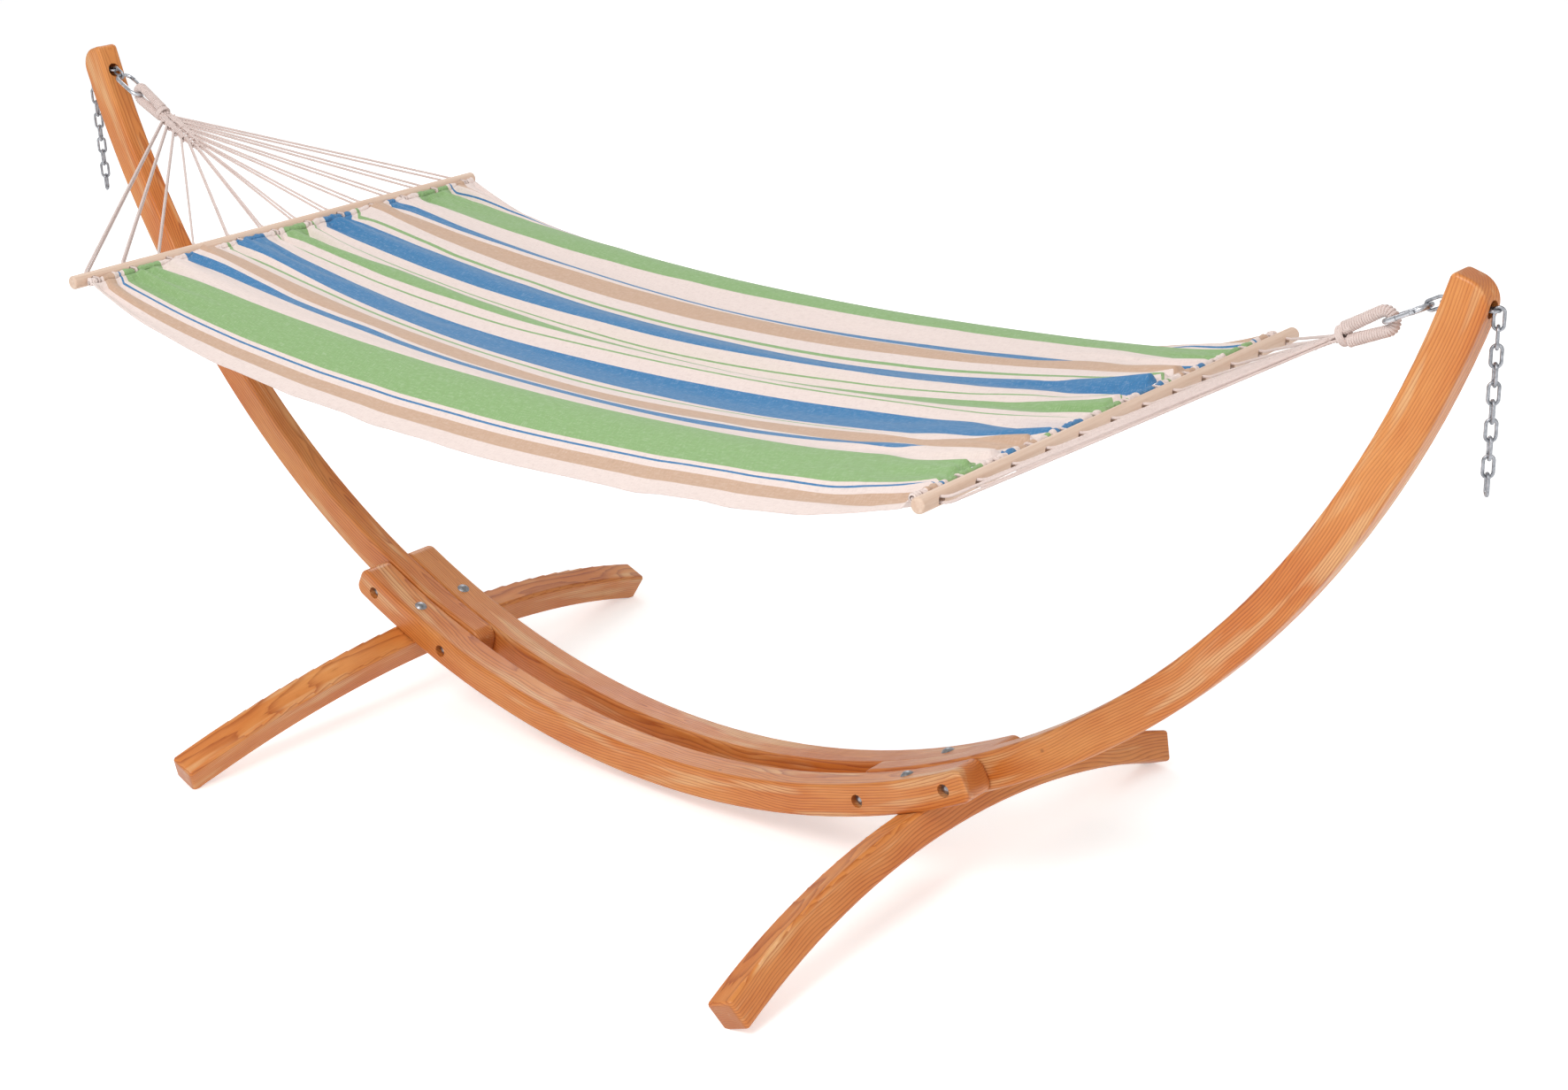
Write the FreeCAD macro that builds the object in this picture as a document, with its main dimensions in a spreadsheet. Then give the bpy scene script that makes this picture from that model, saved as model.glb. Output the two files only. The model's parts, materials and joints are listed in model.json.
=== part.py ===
"""Hammock on a curved timber stand.

Frame: millimetres, +Z up, X along the length, Y across. The origin is on the floor below the
middle of the stand. The two arms and the two base beams follow one circle, whose centre is
straight above the origin; a place on it is an angle from its lowest point.
Pieces of the left end are the right end's, turned half a turn about Z, unless they say otherwise.
"""
import FreeCAD
import Part
import Sketcher
import math
import os

from FreeCAD import Placement, Rotation, Vector

NODE_FOLDER = "parts"

# Driving sizes: millimetres and degrees.
SIZES = {
    # timber stand
    "arc_radius": 1625, "arm_width": 48, "arm_depth": 66, "arm_low_angle": 17.6,
    "arm_tip_angle": 73, "tip_outer_round": 38, "tip_inner_round": 10, "arm_low_round": 22,
    "timber_round": 7, "beam_width": 65, "beam_depth": 60, "beam_end_angle": 27.7,
    "beam_end_round": 20,
    "foot_width": 56, "foot_depth": 58, "foot_arch_radius": 1709, "foot_half_angle": 20.55,
    "foot_angle": 22.5, "seat_depth": 3, "landing_rise": 8, "fit_gap": 0.05,
    # stand fasteners
    "bolt_radius": 5, "bolt_hole_gap": 0.25, "outer_bolt_angle": 26, "inner_bolt_angle": 18.9,
    "head_radius": 9, "head_height": 5, "top_head_radius": 12, "top_head_height": 6,
    "washer_radius": 10.5, "washer_thickness": 2, "nut_flats": 16, "nut_height": 8,
    "sink_radius": 12, "sink_depth": 13,
    # chain
    "bore_below_tip": 41.2, "bore_radius": 13, "wire": 5, "link_inner_length": 26.2,
    "link_side_play": 1.5, "link_gap": 0.1, "swing_gap": 0.45, "mouth_reach": 5,
    "tail_links": 10, "tail_twist": 13, "twisted_links": 3, "pin_radius": 3, "pin_cover": 10,
    # snap hook
    "hook_wire": 8, "hook_length": 80, "hook_width": 41, "gate_wire": 7,
    "gate_start": 16, "gate_end": 46, "gate_gap": 0.4, "gate_heel_gap": 1.6, "lug_length": 6,
    "slot_share": 0.55, "rivet_radius": 1.5,
    # hammock
    "pull_slope": 26.8, "bundle_radius": 9, "eye_bow_radius": 14.5, "eye_leg_length": 64,
    "leg_radius": 10.5, "leg_spread": 9.5, "neck_radius": 11.5, "band_radius": 16.5,
    "band_length": 13, "clew_length": 135, "clew_thickness": 12, "clew_half_width": 23,
    "bar_x": 990, "bar_length": 1000, "bar_radius": 12.5, "cord_count": 12, "bar_end_margin": 40.75,
    "cord_diameter": 4.5, "hem_rope_radius": 2.25, "hem_offset": 24, "hole_gap": 0.15,
    "bed_inset": 20, "bed_sag": 88, "bed_billow": 24, "bed_edge_drop": 38, "bed_waist": 12,
    "bed_thickness": 5, "soft_gap": 0.35,
}

doc = FreeCAD.newDocument("hammock_on_stand")
sheet = doc.addObject("Spreadsheet::Sheet", "Sizes")
for row, (name, number) in enumerate(SIZES.items(), start=1):
    sheet.set("A%d" % row, name)
    sheet.set("B%d" % row, str(number))
    sheet.setAlias("B%d" % row, name)
doc.recompute()


def size(name):
    """The value of one named cell."""
    return float(getattr(sheet, name))


def sine(angle):
    return math.sin(math.radians(angle))


def cosine(angle):
    return math.cos(math.radians(angle))


# Heights that follow from the driving sizes.
BEAM_UNDER_RADIUS = size("arc_radius") + size("beam_depth") / 2
BEAM_OUTER_Y = size("arm_width") / 2 + size("beam_width")


def foot_lowest():
    """Height of a foot's lowest corner, measured from the centre of the big circle."""
    arch = size("foot_arch_radius")
    half_depth = size("foot_depth") / 2
    end_drop = (arch - half_depth) * cosine(size("foot_half_angle")) - arch - half_depth
    down = BEAM_UNDER_RADIUS - end_drop - size("seat_depth")
    slope = size("foot_angle")
    return -down * cosine(slope) - size("foot_width") / 2 * sine(slope)


ARC_CENTRE_Z = -(foot_lowest() + size("landing_rise"))
HALF_TURN = Placement(Vector(0, 0, 0), Rotation(Vector(0, 0, 1), 180))
NO_MOVE = Placement()
nodes = []


def keep(piece, label):
    """Name a finished piece as one node of the assembly."""
    piece.Label = label
    nodes.append(piece)
    return piece


def solid_node(label, shape, placement=NO_MOVE):
    """A node whose shape is made by Part's own functions."""
    feature = doc.addObject("Part::Feature", label)
    feature.Shape = shape
    feature.Placement = placement.multiply(shape.Placement)
    return keep(feature, label)


def group_node(label, shapes):
    return solid_node(label, Part.makeCompound(shapes))


def origin_plane(body, role):
    return next(item for item in body.Origin.OriginFeatures if item.Role == role)


def new_sketch(body, name, role):
    sketch = body.newObject("Sketcher::SketchObject", name)
    sketch.AttachmentSupport = (origin_plane(body, role), "")
    sketch.MapMode = "FlatFace"
    return sketch


def ring_segment(sketch, radius_cell, depth_cell, start, end):
    """A closed outline between two concentric arcs about the sketch's origin."""
    middle, depth = size(radius_cell), size(depth_cell)
    radii = (middle + depth / 2, middle - depth / 2)
    ends = [math.radians(start), math.radians(end)]

    def at(radius, angle):
        return Vector(radius * math.cos(angle), radius * math.sin(angle), 0)

    for radius in radii:
        circle = Part.Circle(Vector(0, 0, 0), Vector(0, 0, 1), radius)
        sketch.addGeometry(Part.ArcOfCircle(circle, ends[0], ends[1]), False)
    for angle in ends:
        sketch.addGeometry(Part.LineSegment(at(radii[0], angle), at(radii[1], angle)), False)
    outer, inner, first, last = range(4)
    rules = [
        ("Coincident", outer, 3, -1, 1), ("Coincident", inner, 3, -1, 1),
        ("Coincident", outer, 1, first, 1), ("Coincident", inner, 1, first, 2),
        ("Coincident", outer, 2, last, 1), ("Coincident", inner, 2, last, 2),
    ]
    for words in rules:
        sketch.addConstraint(Sketcher.Constraint(*words))
    for line in (first, last):
        sketch.addConstraint(Sketcher.Constraint("PointOnObject", -1, 1, line))
    outer_radius = sketch.addConstraint(Sketcher.Constraint("Radius", outer, radii[0]))
    inner_radius = sketch.addConstraint(Sketcher.Constraint("Radius", inner, radii[1]))
    cells = (radius_cell, depth_cell)
    sketch.setExpression("Constraints[%d]" % outer_radius, "Sizes.%s + Sizes.%s / 2" % cells)
    sketch.setExpression("Constraints[%d]" % inner_radius, "Sizes.%s - Sizes.%s / 2" % cells)


def curved_timber(label, role, radius_cell, depth_cell, width_cell, start, end):
    """A body sawn from a curved plank: a ring segment padded to its width, both ways."""
    body = doc.addObject("PartDesign::Body", label)
    sketch = new_sketch(body, label + "_outline", role)
    ring_segment(sketch, radius_cell, depth_cell, start, end)
    pad = body.newObject("PartDesign::Pad", label + "_plank")
    pad.Profile = sketch
    pad.SideType = "Symmetric"
    pad.setExpression("Length", "Sizes." + width_cell)
    doc.recompute()
    return body, pad


def edges_at(*corners):
    """A test for the edges whose middle lies at one of the corners."""
    return lambda edge: any(edge.CenterOfMass.distanceToPoint(corner) < 1 for corner in corners)


def round_edges(body, base, radius_cell, chosen=None):
    """Round the chosen edges, or every edge, of the body's last feature."""
    fillet = body.newObject("PartDesign::Fillet", "%s_%s" % (body.Name, radius_cell))
    if chosen is None:
        fillet.Base = (base, [""])
        fillet.UseAllEdges = True
    else:
        names = ["Edge%d" % number for number, edge in enumerate(base.Shape.Edges, start=1)
                 if chosen(edge)]
        fillet.Base = (base, names)
    fillet.setExpression("Radius", "Sizes." + radius_cell)
    body.Tip = fillet
    doc.recompute()
    return fillet


def drill(body, name, start, direction, radius_expression, length):
    """Cut a round hole from start, along direction, in the body's own frame."""
    hole = body.newObject("PartDesign::SubtractiveCylinder", name)
    hole.Placement = Placement(start, Rotation(Vector(0, 0, 1), direction))
    hole.setExpression("Radius", radius_expression)
    hole.Height = length
    body.Tip = hole


def carve(body, name, length, width, height, placement):
    """Cut a box, given in the body's own frame, away from the body."""
    box = body.newObject("PartDesign::SubtractiveBox", name)
    box.Length, box.Width, box.Height = length, width, height
    box.Placement = placement
    body.Tip = box


def on_arc(radius, angle, y=0):
    """A point at an angle from the big circle's lowest point, from the circle's centre."""
    return Vector(radius * sine(angle), y, -radius * cosine(angle))


def sketch_angle(angle):
    """The big circle's angle as a sketch measures it, from the first axis."""
    return angle - 90


# ---------------------------------------------------------------- stand timber

BORE_Z = -size("arc_radius") * cosine(size("arm_tip_angle")) - size("bore_below_tip")
BORE_HEIGHT = ARC_CENTRE_Z + BORE_Z
ARM_INNER_RADIUS = size("arc_radius") - size("arm_depth") / 2
ARM_OUTER_RADIUS = size("arc_radius") + size("arm_depth") / 2
MOUTH_X = math.sqrt(ARM_INNER_RADIUS ** 2 - BORE_Z ** 2)
OUTER_MOUTH_X = math.sqrt(ARM_OUTER_RADIUS ** 2 - BORE_Z ** 2)
LINK_STEP = size("link_inner_length") - size("link_gap")
LINK_LENGTH = size("link_inner_length") + size("wire")
LINK_INNER_WIDTH = size("hook_wire") + size("link_side_play")
TOUCH = size("wire") + size("link_gap")
FIRST_BOW_X = MOUTH_X - size("mouth_reach")
LAST_BOW_X = FIRST_BOW_X + 2 * LINK_STEP + LINK_LENGTH
PIN_X = (LAST_BOW_X - LINK_LENGTH - size("wire") / 2 - size("pin_radius") - size("link_gap"))
PIN_LENGTH = size("arm_width") - size("pin_cover")


def make_arm(label, side):
    """side is 1 for the right arm and -1 for the left, which is the right one turned round."""
    start, end = sketch_angle(size("arm_low_angle")), sketch_angle(size("arm_tip_angle"))
    body, pad = curved_timber(label, "XZ_Plane", "arc_radius", "arm_depth", "arm_width",
                              start, end)
    tip, low = size("arm_tip_angle"), size("arm_low_angle")
    shape = round_edges(body, pad, "tip_outer_round", edges_at(on_arc(ARM_OUTER_RADIUS, tip)))
    shape = round_edges(body, shape, "tip_inner_round", edges_at(on_arc(ARM_INNER_RADIUS, tip)))
    shape = round_edges(body, shape, "arm_low_round", edges_at(on_arc(ARM_INNER_RADIUS, low)))
    round_edges(body, shape, "timber_round")
    reach = size("arm_width")
    for name in ("outer_bolt_angle", "inner_bolt_angle"):
        drill(body, "%s_%s" % (label, name), on_arc(size("arc_radius"), size(name), -reach),
              Vector(0, 1, 0), "Sizes.bolt_radius + Sizes.bolt_hole_gap", 2 * reach)
    drill(body, label + "_bore", Vector(MOUTH_X - reach, 0, BORE_Z), Vector(1, 0, 0),
          "Sizes.bore_radius", 4 * reach)
    rear = side * size("arm_width") / 2
    drill(body, label + "_pin_hole", Vector(PIN_X, rear, BORE_Z), Vector(0, -side, 0),
          "Sizes.pin_radius + Sizes.fit_gap", PIN_LENGTH + size("fit_gap"))
    lift = Placement(Vector(0, 0, ARC_CENTRE_Z), Rotation())
    body.Placement = lift if side > 0 else HALF_TURN.multiply(lift)
    return keep(body, label)


def make_beam(label, front):
    """front is -1 for the beam nearer the front and 1 for the rear one."""
    span = size("beam_end_angle")
    body, pad = curved_timber(label, "XZ_Plane", "arc_radius", "beam_depth", "beam_width",
                              sketch_angle(-span), sketch_angle(span))
    corners = [on_arc(size("arc_radius") + way * size("beam_depth") / 2, side * span)
               for way in (-1, 1) for side in (-1, 1)]
    shape = round_edges(body, pad, "beam_end_round", edges_at(*corners))
    round_edges(body, shape, "timber_round")
    reach = size("beam_width")
    for side in (-1, 1):
        for name in ("outer_bolt_angle", "inner_bolt_angle"):
            tag = "%s_%s_%d" % (label, name, side + 1)
            centre = on_arc(size("arc_radius"), side * size(name), -reach)
            drill(body, tag, centre, Vector(0, 1, 0), "Sizes.bolt_radius + Sizes.bolt_hole_gap",
                  2 * reach)
            sink = on_arc(size("arc_radius"), side * size(name), front * reach / 2)
            drill(body, tag + "_sink", sink, Vector(0, -front, 0), "Sizes.sink_radius",
                  size("sink_depth"))
        angle = side * size("foot_angle")
        inner = on_arc(size("arc_radius") - reach, angle)
        drill(body, "%s_foot_bolt_%d" % (label, side + 1), inner, on_arc(1, angle),
              "Sizes.bolt_radius + Sizes.bolt_hole_gap", 2 * reach)
    offset = front * (size("arm_width") + size("beam_width")) / 2
    body.Placement = Placement(Vector(0, offset, ARC_CENTRE_Z), Rotation())
    return keep(body, label)


SEAT_HEIGHT = size("foot_arch_radius") + size("foot_depth") / 2 - size("seat_depth")
SPOT_HEIGHT = size("foot_arch_radius") - size("foot_depth") / 2 + size("sink_depth")
FOOT_BOLT_Y = (size("arm_width") + size("beam_width")) / 2


def make_foot(label, side):
    """An arched cross foot, square to the beams where it meets them, so it leans with them."""
    body, pad = curved_timber(label, "YZ_Plane", "foot_arch_radius", "foot_depth", "foot_width",
                              90 - size("foot_half_angle"), 90 + size("foot_half_angle"))
    round_edges(body, pad, "timber_round")
    lean = Rotation(Vector(0, 1, 0), -side * size("foot_angle"))
    seat_point = on_arc(BEAM_UNDER_RADIUS, side * size("foot_angle")) + Vector(0, 0, ARC_CENTRE_Z)
    body.Placement = Placement(seat_point - lean.multVec(Vector(0, 0, SEAT_HEIGHT)), lean)
    wide = 2 * size("foot_width")
    gap = size("fit_gap")
    seats = (("beam_seat", BEAM_OUTER_Y + gap, 0),
             ("arm_seat", size("arm_width") / 2 + gap, ARM_OUTER_RADIUS - BEAM_UNDER_RADIUS + gap))
    for name, half, deeper in seats:
        corner = Vector(-wide / 2, -half, SEAT_HEIGHT - max(deeper, 0))
        carve(body, "%s_%s" % (label, name), wide, 2 * half, wide, Placement(corner, Rotation()))
    for front in (-1, 1):
        centre = Vector(0, front * FOOT_BOLT_Y, SPOT_HEIGHT)
        tag = "%s_bolt_%d" % (label, front + 1)
        drill(body, tag, centre, Vector(0, 0, 1), "Sizes.bolt_radius + Sizes.bolt_hole_gap", wide)
        drill(body, tag + "_sink", centre, Vector(0, 0, -1), "Sizes.sink_radius", wide)
    floor = Placement(Vector(-2 * wide, -size("arc_radius"), -wide) + Vector(seat_point.x, 0, 0),
                      Rotation())
    carve(body, label + "_landing", 4 * wide, 2 * size("arc_radius"), wide,
          body.Placement.inverse().multiply(floor))
    return keep(body, label)


# ---------------------------------------------------------------- turned and bent metal

def turned(outline):
    """A solid of revolution about Z; the outline is (radius, height) corners, in order."""
    points = [Vector(radius, 0, height) for radius, height in outline]
    face = Part.Face(Part.makePolygon(points + points[:1]))
    return face.revolve(Vector(0, 0, 0), Vector(0, 0, 1), 360)


def washer(hole_radius, radius, thickness):
    return turned([(hole_radius, 0), (radius, 0), (radius, thickness), (hole_radius, thickness)])


def hex_nut(hole_radius, flats, height):
    corner = flats / math.sqrt(3)
    points = [Vector(corner * cosine(60 * turn), corner * sine(60 * turn), 0) for turn in range(7)]
    blank = Part.Face(Part.makePolygon(points)).extrude(Vector(0, 0, height))
    return blank.cut(Part.makeCylinder(hole_radius, height))


def dome_bolt(radius, length, head_radius, head_height):
    """A bolt down from z = 0, under a domed head that stands above it."""
    ball = (head_radius ** 2 + head_height ** 2) / (2 * head_height)
    dome = Part.makeSphere(ball, Vector(0, 0, head_height - ball))
    dome = dome.common(Part.makeCylinder(head_radius, head_height))
    shank = Part.makeCylinder(radius, length, Vector(0, 0, -length))
    return dome.fuse(shank).removeSplitter()


def placed(shape, point, direction):
    """A copy whose own Z runs along direction from point."""
    copy = shape.copy()
    copy.Placement = Placement(point, Rotation(Vector(0, 0, 1), direction)).multiply(copy.Placement)
    return copy


def make_fasteners():
    """Two bolts through each arm and both beams, and one through each beam into each foot."""
    bolt, gap = size("bolt_radius"), size("fit_gap")
    hole = bolt + gap
    disc = washer(hole, size("washer_radius"), size("washer_thickness"))
    nut = hex_nut(hole, size("nut_flats"), size("nut_height"))
    seat_y = BEAM_OUTER_Y - size("sink_depth")
    thickness = size("washer_thickness")
    through = dome_bolt(bolt, 2 * (seat_y + thickness) + size("nut_height") + 2,
                        size("head_radius"), size("head_height"))
    bolts, washers, nuts = [], [], []
    for side in (-1, 1):
        for name in ("outer_bolt_angle", "inner_bolt_angle"):
            centre = on_arc(size("arc_radius"), side * size(name)) + Vector(0, 0, ARC_CENTRE_Z)
            for way in (-1, 1):
                face = centre + Vector(0, way * seat_y, 0)
                washers.append(placed(disc, face, Vector(0, way, 0)))
            head = centre + Vector(0, -seat_y - thickness, 0)
            bolts.append(placed(through, head, Vector(0, -1, 0)))
            nuts.append(placed(nut, centre + Vector(0, seat_y + thickness, 0), Vector(0, 1, 0)))
    group_node("beam_bolts", bolts)
    group_node("beam_bolt_washers", washers)
    group_node("beam_bolt_nuts", nuts)

    top_radius = size("arc_radius") - size("beam_depth") / 2
    rise = top_radius - math.sqrt(top_radius ** 2 - size("top_head_radius") ** 2) + gap
    grip = size("beam_depth") + SEAT_HEIGHT - SPOT_HEIGHT
    down = dome_bolt(bolt, rise + grip + thickness + size("nut_height") + 1,
                     size("top_head_radius"), size("top_head_height"))
    bolts, washers, nuts = [], [], []
    for side in (-1, 1):
        angle = side * size("foot_angle")
        outward = on_arc(1, angle)
        for way in (-1, 1):
            head = on_arc(top_radius, angle, way * FOOT_BOLT_Y) + Vector(0, 0, ARC_CENTRE_Z)
            under = head + outward * grip
            bolts.append(placed(down, head - outward * rise, outward * -1))
            washers.append(placed(disc, under, outward))
            nuts.append(placed(nut, under + outward * thickness, outward))
    group_node("foot_bolts", bolts)
    group_node("foot_bolt_washers", washers)
    group_node("foot_bolt_nuts", nuts)


def make_chain_pins():
    """A pin from the rear face of each arm, through the chain link inside its bore."""
    pins = []
    for side in (-1, 1):
        start = Vector(side * PIN_X, size("arm_width") / 2, BORE_HEIGHT)
        pins.append(placed(Part.makeCylinder(size("pin_radius"), PIN_LENGTH), start,
                           Vector(0, -1, 0)))
    group_node("chain_pins", pins)


def link_shape():
    """A long link in the XZ plane: its top bow's wire passes through the origin."""
    thick = size("wire") / 2
    bow = (LINK_INNER_WIDTH + size("wire")) / 2
    straight = LINK_LENGTH - 2 * bow
    across, middle = Vector(0, 1, 0), Vector(0, 0, -bow)
    top = Part.makeTorus(bow, thick, Vector(), Vector(0, 0, 1), 0, 360, 180)
    top.rotate(Vector(), Vector(1, 0, 0), 90)
    if top.BoundBox.Center.z < 0:
        top.rotate(Vector(), across, 180)
    bottom = top.copy()
    bottom.rotate(Vector(), across, 180)
    top.translate(middle)
    bottom.translate(middle - Vector(0, 0, straight))
    legs = [Part.makeCylinder(thick, straight, middle + Vector(side * bow, 0, -straight))
            for side in (-1, 1)]
    return top.fuse([bottom] + legs).removeSplitter()


def link_at(shape, point, down, yaw):
    """A link whose top bow is at point, that runs along down and is turned by yaw about it."""
    aim = Rotation(Vector(0, 0, -1), down)
    copy = shape.copy()
    copy.Placement = Placement(point, aim.multiply(Rotation(Vector(0, 0, 1), yaw)))
    return copy


def both_ends(label, shape):
    """The same piece at the right end and, turned half a turn about Z, at the left end."""
    solid_node("right_" + label, shape)
    solid_node("left_" + label, shape, HALF_TURN)


PULL = Vector(-cosine(size("pull_slope")), 0, -sine(size("pull_slope")))
SWING_POINT = Vector(FIRST_BOW_X, 0, BORE_HEIGHT)
HOOK_BOW = SWING_POINT + PULL * (size("link_inner_length") - size("swing_gap") - size("link_gap")
                                 - (size("wire") + size("hook_wire")) / 2)


def make_chain():
    """Three links lie in each bore, ten hang outside it and one leads in to the hook."""
    link = link_shape()
    inward = Vector(-1, 0, 0)
    laid = [(LAST_BOW_X - 2 * LINK_STEP, 90), (LAST_BOW_X - LINK_STEP, 0), (LAST_BOW_X, 90)]
    in_bore = [link_at(link, Vector(x, 0, BORE_HEIGHT), inward, yaw) for x, yaw in laid]
    both_ends("bore_links", Part.makeCompound(in_bore))
    top = SWING_POINT - PULL * (size("wire") + size("swing_gap"))
    both_ends("neck_link", link_at(link, top, PULL, 0))
    for number in range(1, int(size("tail_links")) + 1):
        height = BORE_HEIGHT + TOUCH - (number - 1) * LINK_STEP
        twist = size("tail_twist") * min(number, int(size("twisted_links")))
        yaw = 90 * (number - 1) + twist
        place = Vector(LAST_BOW_X, 0, height)
        both_ends("tail_link_%d" % number, link_at(link, place, Vector(0, 0, -1), yaw))


def to_pull(shape, start):
    """Move a shape drawn along +X from the origin so that it runs along the pull from start."""
    tilt = Rotation(Vector(0, 1, 0), 180 - size("pull_slope"))
    copy = shape.copy()
    copy.Placement = Placement(start, tilt).multiply(copy.Placement)
    return copy


def half_ring(bow, thick, centre, forward):
    """A half torus in the XY plane about centre, bulging towards +X or -X."""
    ring = Part.makeTorus(bow, thick, Vector(), Vector(0, 0, 1), 0, 360, 180)
    ring.rotate(Vector(), Vector(0, 0, 1), -90)
    if (ring.BoundBox.Center.x > 0) != forward:
        ring.rotate(Vector(), Vector(0, 0, 1), 180)
    ring.translate(centre)
    return ring


def rod(radius, start, end):
    return Part.makeCylinder(radius, (end - start).Length, start, end - start)


def make_hook():
    """A snap hook bent from rod, with a sprung gate on one side and the gate's rivet."""
    thick, gate = size("hook_wire") / 2, size("gate_wire") / 2
    bow = (size("hook_width") - size("hook_wire")) / 2
    far = size("hook_length") - size("hook_wire")
    start, end, gap = size("gate_start"), size("gate_end"), size("gate_gap")
    straight_end = far - bow
    lug_length = size("lug_length")
    parts = [half_ring(bow, thick, Vector(bow, 0, 0), False),
             half_ring(bow, thick, Vector(straight_end, 0, 0), True),
             rod(thick, Vector(bow, bow, 0), Vector(straight_end, bow, 0)),
             rod(thick, Vector(end + gap, -bow, 0), Vector(straight_end, -bow, 0)),
             rod(thick, Vector(bow, -bow, 0), Vector(start + lug_length, -bow, 0))]
    body = parts[0].fuse(parts[1:]).removeSplitter()
    pivot = Vector(start + lug_length / 2, -bow, 0)
    slot_half = gate * size("slot_share")
    slot = Part.makeBox(3 * lug_length, 4 * thick, 2 * slot_half,
                        pivot - Vector(lug_length, 2 * thick, slot_half))
    body = body.cut(slot)
    pin_hole = size("rivet_radius") + size("fit_gap")
    tall = Vector(0, 0, 2 * thick)
    body = body.cut(rod(pin_hole, pivot - tall, pivot + tall))
    tongue, half_blade = slot_half - size("link_gap"), 0.7 * gate
    blade = Part.makeBox(2 * lug_length, 2 * half_blade, 2 * tongue,
                         pivot - Vector(0.4 * lug_length, half_blade, tongue))
    heel = start + lug_length + size("gate_heel_gap")
    bar = rod(gate, Vector(heel, -bow, 0), Vector(end, -bow, 0))
    bar = bar.fuse(blade).removeSplitter()
    bar = bar.cut(rod(pin_hole, pivot - tall, pivot + tall))
    rivet = rod(size("rivet_radius"), pivot - Vector(0, 0, thick), pivot + Vector(0, 0, thick))
    both_ends("hook", to_pull(body, HOOK_BOW))
    both_ends("hook_gate", to_pull(bar, HOOK_BOW))
    both_ends("gate_rivet", to_pull(rivet, HOOK_BOW))


# ---------------------------------------------------------------- hammock

EYE_APEX = (size("hook_length") - size("hook_wire") * 1.5 - size("bundle_radius")
            - size("soft_gap"))
EYE_LEG_START = EYE_APEX + size("eye_bow_radius")
BAND_START = EYE_LEG_START + size("eye_leg_length")
CLEW_START = BAND_START + size("band_length")
BAR_Z = BORE_HEIGHT - (FIRST_BOW_X - size("bar_x")) * math.tan(
    math.radians(size("pull_slope")))


def make_eye():
    """The eye of the cords: a whipped loop, upright, with a neck that the band is wound on."""
    bow, thick = size("eye_bow_radius"), size("bundle_radius")
    ring = half_ring(bow, thick, Vector(EYE_LEG_START, 0, 0), False)
    parts = [ring]
    past_band = 8 * bow
    for side in (-1, 1):
        start = Vector(EYE_LEG_START, side * bow, 0)
        end = Vector(BAND_START, side * size("leg_spread"), 0)
        parts.append(Part.makeCone(thick, size("leg_radius"), (end - start).Length, start,
                                   end - start))
    eye = parts[0].fuse(parts[1:])
    behind = Part.makeBox(past_band, past_band, past_band,
                          Vector(BAND_START, -past_band / 2, -past_band / 2))
    neck = rod(size("neck_radius"), Vector(BAND_START - 2 * bow, 0, 0), Vector(CLEW_START, 0, 0))
    eye = eye.cut(behind).fuse(neck).removeSplitter()
    eye.rotate(Vector(), Vector(1, 0, 0), 90)
    both_ends("eye", to_pull(eye, HOOK_BOW))
    band = washer(size("neck_radius") + size("fit_gap"), size("band_radius"), size("band_length"))
    band = band.makeFillet(size("band_length") / 3, [
        edge for edge in band.Edges
        if edge.BoundBox.XLength > 2 * size("neck_radius") + 1 and edge.BoundBox.ZLength < 1])
    band.rotate(Vector(), Vector(0, 1, 0), 90)
    band.translate(Vector(BAND_START, 0, 0))
    both_ends("eye_band", to_pull(band, HOOK_BOW))


# Where a cord leaves the clew: its share of the clew's length, and of its half width.
CLEW_OUTLINE = ((0, 0.55), (0.22, 1), (0.45, 0.95), (0.75, 0.6), (1, 0.22))


def make_clew():
    """The flat woven triangle that gathers the cords; its outline widens, then narrows."""
    length, half = size("clew_length"), size("clew_half_width")
    points = [Vector(x * length, y * half, 0) for x, y in CLEW_OUTLINE]
    points += [Vector(point.x, -point.y, 0) for point in reversed(points)]
    face = Part.Face(Part.makePolygon(points + points[:1]))
    thickness = size("clew_thickness")
    plate = face.extrude(Vector(0, 0, thickness))
    plate.translate(Vector(CLEW_START, 0, -thickness / 2))
    flat = [edge for edge in plate.Edges if edge.BoundBox.ZLength < 1]
    both_ends("clew", to_pull(plate.makeFillet(thickness / 3, flat), HOOK_BOW))


def cord_y(number):
    """How far a cord's hole in the bar is from the bar's middle."""
    outermost = (size("cord_count") - 1) / 2
    return (number / outermost - 1) * (size("bar_length") / 2 - size("bar_end_margin"))


def clew_exit(number):
    """Where cord number 0, 1, ... leaves the clew, drawn along +X; outer cords leave first."""
    count = int(size("cord_count"))
    outermost = (count - 1) / 2
    side = 1 if number > outermost else -1
    share = 1 - abs(number - outermost) / outermost
    along = 0.1 + 0.85 * share
    for (x0, y0), (x1, y1) in zip(CLEW_OUTLINE, CLEW_OUTLINE[1:]):
        if x0 <= along <= x1:
            wide = y0 + (y1 - y0) * (along - x0) / (x1 - x0)
    inset = size("cord_diameter")
    return Vector(CLEW_START + along * size("clew_length"),
                  side * (wide * size("clew_half_width") - inset), 0)


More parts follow.
